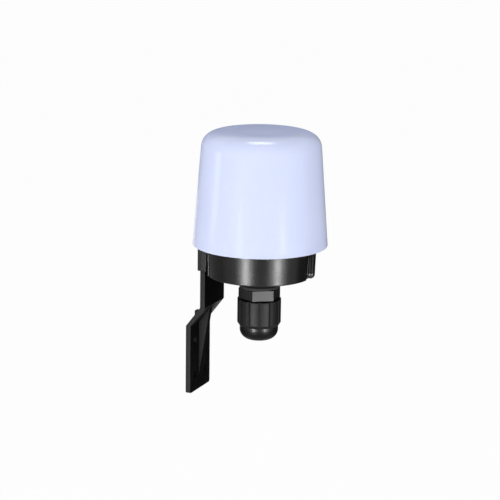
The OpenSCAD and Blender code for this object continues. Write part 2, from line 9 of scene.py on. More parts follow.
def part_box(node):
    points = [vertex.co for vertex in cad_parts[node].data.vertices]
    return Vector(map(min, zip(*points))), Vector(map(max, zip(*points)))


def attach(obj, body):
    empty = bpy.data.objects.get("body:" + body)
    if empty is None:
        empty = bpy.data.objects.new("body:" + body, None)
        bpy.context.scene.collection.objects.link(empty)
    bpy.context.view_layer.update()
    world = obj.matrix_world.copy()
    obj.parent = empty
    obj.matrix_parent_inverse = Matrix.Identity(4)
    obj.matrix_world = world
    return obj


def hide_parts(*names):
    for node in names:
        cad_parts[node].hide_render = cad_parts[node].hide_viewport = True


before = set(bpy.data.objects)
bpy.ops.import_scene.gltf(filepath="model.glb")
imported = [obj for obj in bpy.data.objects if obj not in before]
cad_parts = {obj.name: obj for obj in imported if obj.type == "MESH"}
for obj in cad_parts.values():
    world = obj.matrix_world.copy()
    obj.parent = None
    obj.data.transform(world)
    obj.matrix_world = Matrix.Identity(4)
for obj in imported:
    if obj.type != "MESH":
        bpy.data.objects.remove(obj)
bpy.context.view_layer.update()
scene = bpy.context.scene


# Base housing: a round cup moulded in one piece of satin black ABS. A neck below takes the cable gland, a
# flange above carries the cover and its sealing ring, a socket behind takes the bracket's plate, and a
# half-round latch boss stands in a recess in front. Sizes are in mm, heights from the cup's underside.
mm = 0.001
base_low, base_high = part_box("base_housing")
axis_y = (base_low.y + base_high.y) / 2
neck_r, neck_h, neck_bore_r = 12.8, 6.2, 9.45
base_r, base_draft, base_floor, base_round = 32.6, math.radians(2.1), 2.5, 0.8
cup_r, cup_flat = 30.2, 28.6
flange_r, flange_z, flange_top = 39.06, 20.35, 24.75
groove_r, groove_low, groove_high = 37.18, 21.45, 23.65
edge_round, sunk = 0.25, 1.0
base_z = base_low.z + neck_h * mm
on_axis = Matrix.Translation((0, axis_y, base_z)) @ Matrix.Scale(mm, 4)


def arc(centre, radius, start, end, steps=8):
    """Points of an arc in a flat outline, from one angle in degrees to another"""
    turns = [math.radians(start + (end - start) * k / steps) for k in range(steps + 1)]
    return [(centre[0] + radius * math.cos(t), centre[1] + radius * math.sin(t)) for t in turns]


def circle(centre, radius, steps):
    """Points of a full circle, without the first one again at its end"""
    return arc(centre, radius, 0, 360 - 360 / steps, steps - 1)


def as_piece(name, bm, place, crease=32):
    """A closed mesh put in its place, with smooth faces up to the crease angle"""
    bm.transform(place)
    bmesh.ops.remove_doubles(bm, verts=bm.verts, dist=1e-7)
    bmesh.ops.recalc_face_normals(bm, faces=bm.faces)
    mesh = bpy.data.meshes.new(name)
    bm.to_mesh(mesh)
    bm.free()
    mesh.shade_smooth()
    mesh.set_sharp_from_angle(angle=math.radians(crease))
    piece = bpy.data.objects.new(name, mesh)
    scene.collection.objects.link(piece)
    return piece


def turned(name, section, steps=192, first_turn=0.0, closed=True, crease=32):
    """A half section of (radius, height) turned round the switch's axis; a radius may follow the turn"""
    bm = bmesh.new()
    rings = []
    for k in range(steps):
        turn = first_turn + 2 * math.pi * k / steps
        radii = [r(turn) if callable(r) else r for r, z in section]
        rings.append([bm.verts.new((r * math.cos(turn), r * math.sin(turn), z))
                      for r, (_, z) in zip(radii, section)])
    for k in range(steps):
        here, after = rings[k], rings[(k + 1) % steps]
        for i in range(len(section) if closed else len(section) - 1):
            j = (i + 1) % len(section)
            bm.faces.new((here[i], after[i], after[j], here[j]))
    return as_piece(name, bm, on_axis, crease)


def prism(name, outline, low, high, place):
    """A flat outline drawn out from one height to another"""
    bm = bmesh.new()
    ends = [[bm.verts.new((u, v, w)) for u, v in outline] for w in (low, high)]
    for end in ends:
        bm.faces.new(end)
    for i in range(len(outline)):
        j = (i + 1) % len(outline)
        bm.faces.new((ends[0][i], ends[0][j], ends[1][j], ends[1][i]))
    return as_piece(name, bm, place)


def baked(piece, crease=32):
    """Turns a piece's modifiers into its mesh"""
    graph = bpy.context.evaluated_depsgraph_get()
    mesh = bpy.data.meshes.new_from_object(piece.evaluated_get(graph))
    piece.modifiers.clear()
    piece.data = mesh
    mesh.shade_smooth()
    mesh.set_sharp_from_angle(angle=math.radians(crease))
    return piece


def soften_edges(piece, width, segments, over_angle):
    """Rounds a piece's edges that turn by more than an angle in degrees"""
    soften = piece.modifiers.new("soften", "BEVEL")
    soften.width = width * mm
    soften.segments = segments
    soften.limit_method = "ANGLE"
    soften.angle_limit = math.radians(over_angle)
    return baked(piece)


def combine(piece, other, operation):
    """Joins another solid to a piece, or cuts it out of it"""
    change = piece.modifiers.new("change", "BOOLEAN")
    change.operation = operation
    change.solver = "EXACT"
    change.object = other
    baked(piece)
    bpy.data.objects.remove(other)


def moulded(name, colour, roughness, specular, grain_per_m=2600, grain_depth=0.00001, drift=0.12):
    """Moulded plastic: a slow drift of colour and gloss, and the mould's fine grain as bump"""
    flow_per_m, flow_detail, flow_low, flow_high = 70, 3, 0.3, 0.7
    grain_detail, grain_strength = 2, 0.5
    material = bpy.data.materials.new(name)
    material.use_nodes = True
    nodes, links = material.node_tree.nodes, material.node_tree.links
    shader = nodes["Principled BSDF"]
    shader.inputs["Specular IOR Level"].default_value = specular
    place = nodes.new("ShaderNodeTexCoord")
    flow = nodes.new("ShaderNodeTexNoise")
    flow.inputs["Scale"].default_value = flow_per_m
    flow.inputs["Detail"].default_value = flow_detail
    links.new(place.outputs["Object"], flow.inputs["Vector"])
    tint = nodes.new("ShaderNodeMix")
    tint.data_type = "RGBA"
    tint.inputs[6].default_value = (*[c * (1 - drift) for c in colour], 1)
    tint.inputs[7].default_value = (*[min(1, c * (1 + drift)) for c in colour], 1)
    links.new(flow.outputs["Fac"], tint.inputs["Factor"])
    links.new(tint.outputs[2], shader.inputs["Base Color"])
    gloss = nodes.new("ShaderNodeMapRange")
    gloss.inputs["From Min"].default_value = flow_low
    gloss.inputs["From Max"].default_value = flow_high
    gloss.inputs["To Min"].default_value = roughness * (1 - drift)
    gloss.inputs["To Max"].default_value = roughness * (1 + drift)
    links.new(flow.outputs["Fac"], gloss.inputs["Value"])
    links.new(gloss.outputs["Result"], shader.inputs["Roughness"])
    grain = nodes.new("ShaderNodeTexNoise")
    grain.inputs["Scale"].default_value = grain_per_m
    grain.inputs["Detail"].default_value = grain_detail
    links.new(place.outputs["Object"], grain.inputs["Vector"])
    bump = nodes.new("ShaderNodeBump")
    bump.inputs["Strength"].default_value = grain_strength
    bump.inputs["Distance"].default_value = grain_depth
    links.new(grain.outputs["Fac"], bump.inputs["Height"])
    links.new(bump.outputs["Normal"], shader.inputs["Normal"])
    return material


def refinish(material, masks, roughness, specular):
    """Gives a part of a moulding another gloss, where all of its masks hold

    A mask is a measure from the switch's axis and the cup's underside (radius, height, or front, which grows
    away from the wall), with the value in mm where it starts to hold and the value where it holds in full.
    """
    nodes, links = material.node_tree.nodes, material.node_tree.links
    shader = nodes["Principled BSDF"]
    place = nodes.new("ShaderNodeTexCoord")
    shift = nodes.new("ShaderNodeVectorMath")
    shift.operation = "SUBTRACT"
    shift.inputs[1].default_value = (0, axis_y, base_z)
    links.new(place.outputs["Object"], shift.inputs[0])
    split = nodes.new("ShaderNodeSeparateXYZ")
    links.new(shift.outputs[0], split.inputs[0])
    flat = nodes.new("ShaderNodeCombineXYZ")
    links.new(split.outputs["X"], flat.inputs["X"])
    links.new(split.outputs["Y"], flat.inputs["Y"])
    length = nodes.new("ShaderNodeVectorMath")
    length.operation = "LENGTH"
    links.new(flat.outputs[0], length.inputs[0])
    front = nodes.new("ShaderNodeMath")
    front.operation = "MULTIPLY"
    front.inputs[1].default_value = -1
    links.new(split.outputs["Y"], front.inputs[0])
    measures = {"radius": length.outputs["Value"], "height": split.outputs["Z"], "front": front.outputs[0]}
    held = None
    for measure, start, end in masks:
        ramp = nodes.new("ShaderNodeMapRange")
        ramp.inputs["From Min"].default_value = start * mm
        ramp.inputs["From Max"].default_value = end * mm
        links.new(measures[measure], ramp.inputs["Value"])
        if held is None:
            held = ramp.outputs["Result"]
            continue
        both = nodes.new("ShaderNodeMath")
        both.operation = "MINIMUM"
        links.new(held, both.inputs[0])
        links.new(ramp.outputs["Result"], both.inputs[1])
        held = both.outputs[0]
    for socket, value in (("Roughness", roughness), ("Specular IOR Level", specular)):
        mix = nodes.new("ShaderNodeMix")
        mix.inputs[2].default_value = shader.inputs[socket].default_value
        if shader.inputs[socket].is_linked:
            links.new(shader.inputs[socket].links[0].from_socket, mix.inputs[2])
        mix.inputs[3].default_value = value
        links.new(held, mix.inputs[0])
        links.new(mix.outputs[0], shader.inputs[socket])


def finish_piece(piece, material, body, slot, *nodes):
    """Gives a piece its material and body, and puts it in place of its plain solids; the slot argument is not
    used
    """
    piece.data.materials.clear()
    piece.data.materials.append(material)
    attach(piece, body)
    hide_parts(*nodes)


def base_wall_r(z):
    """Radius of the cup's drafted outer wall at a height"""
    return base_r + z * math.tan(base_draft)


def half_round(name, x, y, radius, lift, steps=48):
    """A bead with a ball end, from its lower tip up into the flange, which follows the wall's draft"""
    end = arc((0, lift + radius), radius, -90, 0, 12)
    section = end + [(radius, flange_z + sunk), (0, flange_z + sunk)]
    bm = bmesh.new()
    rings = [[bm.verts.new((x * base_wall_r(z) / base_r + r * math.cos(t),
                            y * base_wall_r(z) / base_r + r * math.sin(t), z)) for r, z in section]
             for t in (2 * math.pi * k / steps for k in range(steps))]
    for k in range(steps):
        here, after = rings[k], rings[(k + 1) % steps]
        for i in range(len(section) - 1):
            bm.faces.new((here[i], after[i], after[i + 1], here[i + 1]))
    return as_piece(name, bm, on_axis)


base_section = [
    (neck_bore_r, -neck_h), (neck_r - edge_round, -neck_h),
    *arc((neck_r - edge_round, -neck_h + edge_round), edge_round, -60, 0, 3), (neck_r, 0),
    *arc((base_r - base_round, base_round), base_round, -90, math.degrees(-base_draft), 10),
    (base_wall_r(flange_z), flange_z), (flange_r - edge_round, flange_z),
    *arc((flange_r - edge_round, flange_z + edge_round), edge_round, -60, 0, 3),
    (flange_r, groove_low), (groove_r, groove_low), (groove_r, groove_high), (flange_r, groove_high),
    *arc((flange_r - edge_round, flange_top - edge_round), edge_round, 0, 90, 4),
    (cup_r, flange_top), (cup_r, base_floor), (neck_bore_r, base_floor),
]
base_moulding = turned("base_moulding", base_section, 256)

# The socket's block behind, with its outer corners cut back inside the cover's bead, and the flat inner wall
socket_half_w, socket_face, socket_lift, socket_corner_r = 17.15, 35.4, 2.2, 38.41
corner_turns = (math.degrees(math.acos(socket_half_w / socket_corner_r)),
                math.degrees(math.asin(socket_face / socket_corner_r)))
socket_outline = [
    (-socket_half_w, cup_flat), (socket_half_w, cup_flat),
    *arc((0, 0), socket_corner_r, *corner_turns),
    *arc((0, 0), socket_corner_r, *(180 - turn for turn in reversed(corner_turns))),
]
socket = prism("socket", socket_outline, socket_lift, flange_z + sunk, on_axis)
combine(base_moulding, soften_edges(socket, edge_round, 3, 60), "UNION")
flat_wall_r, flat_wall_low = 31.4, 1.0
flat_turn = math.degrees(math.acos(cup_flat / flat_wall_r))
flat_outline = arc((0, 0), flat_wall_r, 90 - flat_turn, 90 + flat_turn, 32)
combine(base_moulding, prism("flat_wall", flat_outline, flat_wall_low, flange_top, on_axis), "UNION")

# Latch boss in its recess in front, a bead on each side of the socket, and the posts for the board's screws
boss_r, boss_out, boss_lift = 2.6, 1.0, 1.0
recess_half_w, recess_floor, recess_top = 3.7, -31.0, 19.0
bead_r, bead_x, bead_lift = 0.65, 21.0, 0.4
bead_y = math.sqrt(base_r ** 2 - bead_x ** 2)
recess = [(-recess_half_w, recess_floor), (-recess_half_w, -flange_r), (recess_half_w, -flange_r),
          (recess_half_w, recess_floor)]
combine(base_moulding, prism("boss_recess", recess, -sunk, recess_top, on_axis), "DIFFERENCE")
for boss_y in (recess_floor - boss_out, -base_r - boss_out):
    combine(base_moulding, half_round("latch_boss", 0, boss_y, boss_r, boss_lift), "UNION")
for x in (-bead_x, bead_x):
    combine(base_moulding, half_round("bead", x, bead_y, bead_r, bead_lift), "UNION")
post_ring, post_r, post_top, pilot_r, pilot_low = 23.6, 3.2, 25.25, 1.22, 16.25
post_turns = (90, 210, 330)
for turn in map(math.radians, post_turns):
    centre = (post_ring * math.cos(turn), post_ring * math.sin(turn))
    post = prism("post", circle(centre, post_r, 48), base_floor / 2, post_top, on_axis)
    combine(base_moulding, post, "UNION")
    pilot = prism("pilot", circle(centre, pilot_r, 24), pilot_low, post_top + sunk, on_axis)
    combine(base_moulding, pilot, "DIFFERENCE")

# Slot for the bracket's plate, open below
slot_half_w, slot_front, slot_back, slot_top = 14.85, 30.4, 33.75, 17.1
slot_outline = [(-slot_half_w, slot_front), (slot_half_w, slot_front),
                (slot_half_w, slot_back), (-slot_half_w, slot_back)]
combine(base_moulding, prism("slot", slot_outline, -sunk, slot_top, on_axis), "DIFFERENCE")

# The wall is satin, the socket's sides and the neck are duller, and the boss is smooth with a brighter tip
base_black = moulded("base_black", (0.006, 0.006, 0.0065), 0.27, 0.23)
beside_socket = (("radius", 31.5, 32.0), ("front", -26.2, -26.6))
on_neck = (("radius", 14.0, 13.5),)
on_boss = (("front", 33.1, 33.4),)
above_boss_tip = (*on_boss, ("height", 4.0, 4.8))
refinish(base_black, beside_socket, 0.5, 0.15)
refinish(base_black, on_neck, 0.7, 0.05)
refinish(base_black, on_boss, 0.3, 0.3)
refinish(base_black, above_boss_tip, 0.14, 0.025)
finish_piece(base_moulding, base_black, "housing", "base_plastic", "base_housing")


# Cable gland: a threaded nylon body with a hexagon, screwed up against the base's neck. A flat rubber washer
# seals it outside and a hexagon locknut holds it inside the base.
washer_r, washer_top, washer_low = 12.5, -6.2, -7.9
washer_round = 0.3
washer_section = [
    (neck_bore_r, washer_low),
    *arc((washer_r - washer_round, washer_low + washer_round), washer_round, -90, 0, 4),
    *arc((washer_r - washer_round, washer_top - washer_round), washer_round, 0, 90, 4),
    (neck_bore_r, washer_top),
]
gland_washer_ring = turned("gland_washer_ring", washer_section, 128)
washer_rubber = moulded("washer_rubber", (0.02, 0.02, 0.02), 0.7, 0.25, 1500, 0.00003)
finish_piece(gland_washer_ring, washer_rubber, "housing", "seal_rubber", "gland_washer")

hex_flat_r, hex_top, hex_low, hex_turn = 11.4, -7.9, -14.8, math.radians(4)
hex_chamfer = 0.3
thread_r, thread_root_r, thread_pitch = 9.3, 8.55, 1.41
thread_top, thread_low = 9.0, -27.0
gland_bore_r, seat_r, seat_top = 6.0, 7.55, -21.0
gland_steps = 144
rows_per_turn = 12


def hexagon_r(turn):
    """Radius of the hexagon's side in a direction"""
    off = (turn - hex_turn) % (math.pi / 3) - math.pi / 6
    return hex_flat_r / math.cos(off)


def thread_rows(high, low):
    """Rows of a rounded helical thread from one height down to another, running out at both ends"""
    count = round((high - low) / thread_pitch * rows_per_turn)
    rows = []
    for k in range(count + 1):
        z = high + (low - high) * k / count
        depth = thread_r - thread_root_r
        depth *= min(1, (high - z) / thread_pitch, (z - low) / thread_pitch * 2)
        rows.append((lambda turn, z=z, depth=depth: thread_r - depth * (
            0.5 - 0.5 * math.cos(turn - 2 * math.pi * z / thread_pitch)), z))
    return rows


gland_section = [
    (gland_bore_r, thread_top), *thread_rows(thread_top, hex_top),
    (lambda turn: hexagon_r(turn) - hex_chamfer, hex_top), (hexagon_r, hex_top - hex_chamfer),
    (hexagon_r, hex_low + hex_chamfer), (lambda turn: hexagon_r(turn) - hex_chamfer, hex_low),
    *thread_rows(hex_low, thread_low),
    (seat_r, thread_low), (seat_r, seat_top), (gland_bore_r, seat_top),
]
gland_hex_body = turned("gland_hex_body", gland_section, gland_steps, hex_turn)
gland_black = moulded("gland_black", (0.005, 0.005, 0.005), 0.3, 0.46, 1800, 0.000008)
finish_piece(gland_hex_body, gland_black, "housing", "gland_nylon", "gland_body")


def finish_node(node, material):
    """Gives a solid that keeps its own shape a better material"""
    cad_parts[node].data.materials.clear()
    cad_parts[node].data.materials.append(material)


finish_node("gland_locknut", gland_black)


# Inside the gland: the rubber grommet that grips the supply lead, and the pale nylon thrust ring that lets
# the nut turn on it.
grommet_rubber = moulded("grommet_rubber", (0.028, 0.028, 0.03), 0.75, 0.25, 900, 0.00004)
ring_nylon = moulded("ring_nylon", (0.62, 0.61, 0.57), 0.45, 0.5, 1200, 0.00001, 0.05)
finish_node("gland_seal", grommet_rubber)
finish_node("gland_thrust_ring", ring_nylon)


# Gland nut: the hand-turned black nylon cap that squeezes the grommet. Its grip has twelve ribs with narrow
# flutes between them, a slope at the ribs' ends and a rounded end with the lead's hole.
nut_top, nut_grip_low, nut_slope_low, nut_low = -15.1, -30.0, -32.0, -41.0
nut_r, nut_slope_r, nut_dome_r, nut_round = 13.6, 12.3, 12.0, 6.6
nut_bore_r, nut_bore_low, nut_pocket_r, nut_pocket_low = 9.38, -32.7, 8.6, -35.05
funnel_r, funnel_low, lead_hole_r = 6.6, -37.05, 4.6
nut_edge = 0.3


def straight(start, end, steps=10):
    """Points of a straight stretch of a section, without its first one"""
    return [(start[0] + (end[0] - start[0]) * k / steps, start[1] + (end[1] - start[1]) * k / steps)
            for k in range(1, steps + 1)]


nut_section = [
    (nut_bore_r, nut_top), *reversed(arc((nut_r - nut_edge, nut_top - nut_edge), nut_edge, 0, 90, 4)),
    *straight((nut_r, nut_top - nut_edge), (nut_r, nut_grip_low)),
    *straight((nut_r, nut_grip_low), (nut_slope_r, nut_slope_low)),
    (nut_dome_r, nut_slope_low),
    *arc((nut_dome_r - nut_round, nut_low + nut_round), nut_round, 0, -90, 20),
    (lead_hole_r, nut_low), (lead_hole_r, funnel_low), (funnel_r, nut_pocket_low),
    (nut_pocket_r, nut_pocket_low), (nut_pocket_r, nut_bore_low), (nut_bore_r, nut_bore_low),
]
gland_cap_nut = turned("gland_cap_nut", nut_section, 480)
nut_black = moulded("nut_black", (0.006, 0.006, 0.006), 0.3, 0.2, 1800, 0.000002, 0.05)


def open_tree(name, *size_names):
    """A new geometry tree with named inputs for its sizes, and its input node"""
    tree = bpy.data.node_groups.new(name, "GeometryNodeTree")
    tree.interface.new_socket("Geometry", in_out="INPUT", socket_type="NodeSocketGeometry")
    for size in size_names:
        tree.interface.new_socket(size, in_out="INPUT", socket_type="NodeSocketFloat")
    tree.interface.new_socket("Geometry", in_out="OUTPUT", socket_type="NodeSocketGeometry")
    return tree, tree.nodes.new("NodeGroupInput")


def close_tree(tree, shape, material):
    """Ends a geometry tree: its shape becomes plain mesh and gets its material"""
    real = tree.nodes.new("GeometryNodeRealizeInstances")
    paint = tree.nodes.new("GeometryNodeSetMaterial")
    paint.inputs["Material"].default_value = material
    result = tree.nodes.new("NodeGroupOutput")
    tree.links.new(shape, real.inputs[0])
    tree.links.new(real.outputs[0], paint.inputs["Geometry"])
    tree.links.new(paint.outputs[0], result.inputs[0])
    return tree


def fluting_tree(material):
    """Geometry nodes that press a ring of round flutes into a turned blank, up to the flutes' own surface"""
    tree, sizes = open_tree("grip_flutes", "Axis Y", "Flute Count", "Flute Turn",
                            "Flute Ring", "Flute Radius")
    nodes, links = tree.nodes, tree.links

    def calc(operation, *values):
        """Result of a math node, fed by numbers and by other results"""
        node = nodes.new("ShaderNodeMath")
        node.operation = operation
        for socket_in, value in zip(node.inputs, values):
            if isinstance(value, (int, float)):
                socket_in.default_value = value
            else:
                links.new(value, socket_in)
        return node.outputs[0]

    where = nodes.new("GeometryNodeInputPosition")
    split = nodes.new("ShaderNodeSeparateXYZ")
    links.new(where.outputs[0], split.inputs[0])
    x, z = split.outputs[0], split.outputs[2]
    y = calc("SUBTRACT", split.outputs[1], sizes.outputs["Axis Y"])
    radius = calc("SQRT", calc("ADD", calc("MULTIPLY", x, x), calc("MULTIPLY", y, y)))
    pitch = calc("DIVIDE", 2 * math.pi, sizes.outputs["Flute Count"])
    turn = calc("SUBTRACT", calc("ARCTAN2", y, x), sizes.outputs["Flute Turn"])
    off = calc("SUBTRACT", turn, calc("MULTIPLY", pitch, calc("ROUND", calc("DIVIDE", turn, pitch))))
    ring = sizes.outputs["Flute Ring"]
    across = calc("MULTIPLY", ring, calc("SINE", off))
    flute = sizes.outputs["Flute Radius"]
    inside = calc("SUBTRACT", calc("MULTIPLY", flute, flute), calc("MULTIPLY", across, across))
    deep = calc("SQRT", calc("MAXIMUM", inside, 0))
    surface = calc("SUBTRACT", calc("MULTIPLY", ring, calc("COSINE", off)), deep)
    share = calc("DIVIDE", calc("MINIMUM", radius, surface), radius)
    place = nodes.new("ShaderNodeCombineXYZ")
    links.new(calc("MULTIPLY", x, share), place.inputs[0])
    links.new(calc("ADD", calc("MULTIPLY", y, share), sizes.outputs["Axis Y"]), place.inputs[1])
    links.new(z, place.inputs[2])
    press = nodes.new("GeometryNodeSetPosition")
    links.new(sizes.outputs["Geometry"], press.inputs["Geometry"])
    links.new(calc("GREATER_THAN", inside, 0), press.inputs["Selection"])
    links.new(place.outputs[0], press.inputs["Position"])
    return close_tree(tree, press.outputs[0], material)


def add_nodes(piece, tree, values):
    """Runs a geometry tree on a piece, with its sizes given by name"""
    step = piece.modifiers.new(tree.name, "NODES")
    step.node_group = tree
    for item in tree.interface.items_tree:
        if item.in_out == "INPUT" and item.name in values:
            step[item.identifier] = values[item.name]
    return baked(piece)


flute_count, flute_turn, flute_r, flute_depth = 12.0, math.radians(-6), 1.6, 0.5
add_nodes(gland_cap_nut, fluting_tree(nut_black), {
    "Axis Y": axis_y, "Flute Count": flute_count, "Flute Turn": flute_turn,
    "Flute Ring": (nut_r + flute_r - flute_depth) * mm, "Flute Radius": flute_r * mm})
on_grip = (("height", nut_slope_low - 0.1, nut_slope_low + 0.1),)
below_end_edge = (("height", nut_slope_low - 1.4, nut_slope_low - 2.4),)
in_flutes = (("radius", nut_r - 0.1, nut_r - 0.35), *on_grip)
refinish(nut_black, on_grip, 0.48, 0.17)
refinish(nut_black, below_end_edge, 0.42, 0.07)
refinish(nut_black, in_flutes, 0.6, 0.12)
finish_piece(gland_cap_nut, nut_black, "gland_nut", "gland_nylon", "gland_nut")


# Circuit board and its components: a round green board screwed to the base's posts, with the relay, the
# supply's capacitors, diodes and resistors, the terminals and the photoresistor that looks up at the cover.
board_green = moulded("board_green", (0.02, 0.11, 0.045), 0.35, 0.5, 900, 0.00002, 0.3)
screw_steel = moulded("screw_steel", (0.55, 0.56, 0.57), 0.3, 0.5, 1500, 0.000006, 0.08)
screw_steel.node_tree.nodes["Principled BSDF"].inputs["Metallic"].default_value = 1
board_finishes = {
    "circuit_board": board_green, "board_screws": screw_steel, "terminal_screws": screw_steel,
    "relay": moulded("relay_blue", (0.02, 0.06, 0.25), 0.4, 0.5),
    "photoresistor": moulded("photoresistor_red", (0.5, 0.17, 0.08), 0.5, 0.5, 1200, 0.00002, 0.2),
    "terminal_block": moulded("terminal_green", (0.03, 0.2, 0.08), 0.45, 0.5),
    "film_capacitor": moulded("film_yellow", (0.6, 0.4, 0.03), 0.35, 0.5),
    "smoothing_capacitor": moulded("sleeve_black", (0.015, 0.017, 0.03), 0.3, 0.5),
    "varistor": moulded("varistor_blue", (0.02, 0.09, 0.3), 0.35, 0.5, 700, 0.00003),
    "rectifier_diodes": moulded("diode_black", (0.015, 0.015, 0.016), 0.4, 0.5),
    "zener_diode": moulded("zener_red", (0.45, 0.12, 0.03), 0.15, 0.5),
    "transistor": moulded("transistor_black", (0.016, 0.016, 0.017), 0.45, 0.5),
    "resistors": moulded("resistor_tan", (0.55, 0.4, 0.22), 0.4, 0.5, 900, 0.00002, 0.2),
}
for node, material in board_finishes.items():
    finish_node(node, material)


# Sealing ring: a black rubber O-ring in the flange's groove, squeezed by the cover to keep rain out. Its
# solid keeps its shape and shares the grommet's rubber.
finish_node("cover_seal", grommet_rubber)


# Dome cover: one moulding of milky, frosted polypropylene, snapped over the base's flange by a bead inside
# its rim. The side is drafted, the shoulder rounded and eased into the crown, a shallow part of a sphere.
cover_rim_z = 19.2
cover_r, cover_h, cover_draft, cover_shoulder, cover_crown = 41.65, 71.7, math.radians(4.55), 9.4, 200.0
cover_wall, rim_round = 2.0, 0.6
snap_r, snap_h, snap_lead = 38.56, 1.0, 0.3
dome_steps = 28
ease_first, ease_last, ease_pull = 49, 70, 0.3


def dome_line(r, h, shoulder, crown, low, steps=dome_steps):
    """Half section of a dome from a height on its drafted side, round the shoulder, to the crown's top"""
    t = math.tan(cover_draft)
    inner_r = r - shoulder / math.cos(cover_draft)
    drop = h - crown
    a, b = t * t + 1, inner_r * t + drop
    d = inner_r ** 2 + drop ** 2 - (crown - shoulder) ** 2
    centre_z = (b + math.sqrt(b * b - a * d)) / a
    centre_r = inner_r - centre_z * t
    meet = math.degrees(math.atan2(centre_z - drop, centre_r))
    side = [(r - z * t, z) for z in (low + (centre_z - low) * k / steps for k in range(steps))]
    bend = arc((centre_r, centre_z), shoulder, math.degrees(cover_draft), meet, steps)
    top = arc((0, drop), crown, meet, 90, steps)
    return side + bend + top[1:]


def eased(line, first, last, pull):
    """Replaces a stretch of an outline by one smooth curve that leaves and joins it in its own direction"""
    start, end = Vector(line[first]), Vector(line[last])
    leave = (start - Vector(line[first - 1])).normalized()
    join = (Vector(line[last + 1]) - end).normalized()
    handle = (end - start).length * pull
    curve = interpolate_bezier(start, start + leave * handle, end - join * handle, end, last - first + 1)
    return line[:first] + [tuple(point) for point in curve] + line[last + 1:]


outer_line = eased(dome_line(cover_r, cover_h, cover_shoulder, cover_crown, rim_round),
                   ease_first, ease_last, ease_pull)
inner_line = dome_line(cover_r - cover_wall, cover_h - cover_wall, cover_shoulder - cover_wall,
                       cover_crown - cover_wall, snap_h)
rim_line = [(snap_r, snap_h - snap_lead), (snap_r, snap_lead), (snap_r + snap_lead, 0),
            *arc((cover_r - rim_round, rim_round), rim_round, -90, -10, 6)]
cover_section = [(r, z + cover_rim_z) for r, z in
                 inner_line[::-1] + [(snap_r + snap_lead, snap_h)] + rim_line + outer_line]
cover_section[0] = (0, cover_section[0][1])
cover_section[-1] = (0, cover_section[-1][1])
cover_shell = turned("cover_shell", cover_section, 256, closed=False)
cover_milky = moulded("cover_milky", (0.65, 0.71, 0.97), 0.16, 0.3, 1500, 0.000006, 0.01)
cover_shader = cover_milky.node_tree.nodes["Principled BSDF"]
cover_shader.inputs["Subsurface Weight"].default_value = 0.25
cover_shader.inputs["Subsurface Radius"].default_value = (1.0, 1.0, 1.2)
cover_shader.inputs["Subsurface Scale"].default_value = 2 * mm
finish_piece(cover_shell, cover_milky, "housing", "cover_plastic", "dome_cover")


# Wall bracket: a black moulded plate with a slanted step. Its upper end plugs into the base's socket, its
# lower end has four screw holes, and a gusset in front and a web behind stiffen the step.
plate_t, bracket_half_w = 3.15, 14.75
lower_half, step_h, step_out, plate_top = 22.0, 12.6, 9.55, 73.7
bend_round, corner_round, plate_edge = 1.0, 1.5, 0.3
rib_half_t, gusset_foot, gusset_out, web_h, rib_sunk = 1.9, 9.3, 7.4, 6.8, 0.5
front_far, front_near = 5, -40
along_wall = Matrix(((0, 0, mm, 0), (mm, 0, 0, 0), (0, mm, 0, 0), (0, 0, 0, 1)))
from_front = Matrix(((mm, 0, 0, 0), (0, 0, mm, 0), (0, mm, 0, 0), (0, 0, 0, 1)))


def rounded(corners, steps=6):
    """Outline of corners (u, v, radius), each replaced by its arc"""
    outline = []
    for i, (u, v, radius) in enumerate(corners):
        here = Vector((u, v))
        back = (Vector(corners[i - 1][:2]) - here).normalized()
        ahead = (Vector(corners[(i + 1) % len(corners)][:2]) - here).normalized()
        if radius == 0:
            outline.append((u, v))
            continue
        half = back.angle(ahead) / 2
        centre = here + (back + ahead).normalized() * radius / math.sin(half)
        first = here + back * radius / math.tan(half) - centre
        last = here + ahead * radius / math.tan(half) - centre
        sweep = first.angle_signed(last)
        for k in range(steps + 1):
            turn = -sweep * k / steps
            outline.append((centre.x + first.x * math.cos(turn) - first.y * math.sin(turn),
                            centre.y + first.x * math.sin(turn) + first.y * math.cos(turn)))
    return outline


side_view = rounded([
    (0, -lower_half, 0), (0, lower_half, bend_round), (-step_out, lower_half + step_h, bend_round),
    (-step_out, plate_top, 0), (-step_out - plate_t, plate_top, 0),
    (-step_out - plate_t, lower_half + step_h, bend_round), (-plate_t, lower_half, bend_round),
    (-plate_t, -lower_half, 0)])
bracket_moulding = prism("bracket_moulding", side_view, -bracket_half_w, bracket_half_w, along_wall)
front_view = rounded([
    (-bracket_half_w, -lower_half, corner_round), (bracket_half_w, -lower_half, corner_round),
    (bracket_half_w, plate_top, 0), (-bracket_half_w, plate_top, 0)])
combine(bracket_moulding, prism("front_outline", front_view, front_near, front_far, from_front), "INTERSECT")
slope = step_h / step_out
gusset_top = lower_half + gusset_out * slope
gusset = [(-plate_t + rib_sunk, -lower_half + gusset_foot), (-plate_t, -lower_half + gusset_foot),
          (-plate_t - gusset_out, gusset_top), (-plate_t - gusset_out + rib_sunk, gusset_top + rib_sunk),
          (-plate_t + rib_sunk, lower_half)]
web_foot = lower_half - 2 * rib_sunk
web = [(0, web_foot), (0, lower_half + web_h), (-web_h / slope - rib_sunk, lower_half + web_h),
       (-rib_sunk, web_foot)]
for rib in (gusset, web):
    combine(bracket_moulding, prism("rib", rib, -rib_half_t, rib_half_t, along_wall), "UNION")
bracket_black = moulded("bracket_black", (0.003, 0.003, 0.003), 0.35, 0.06, 1700, 0.00002)


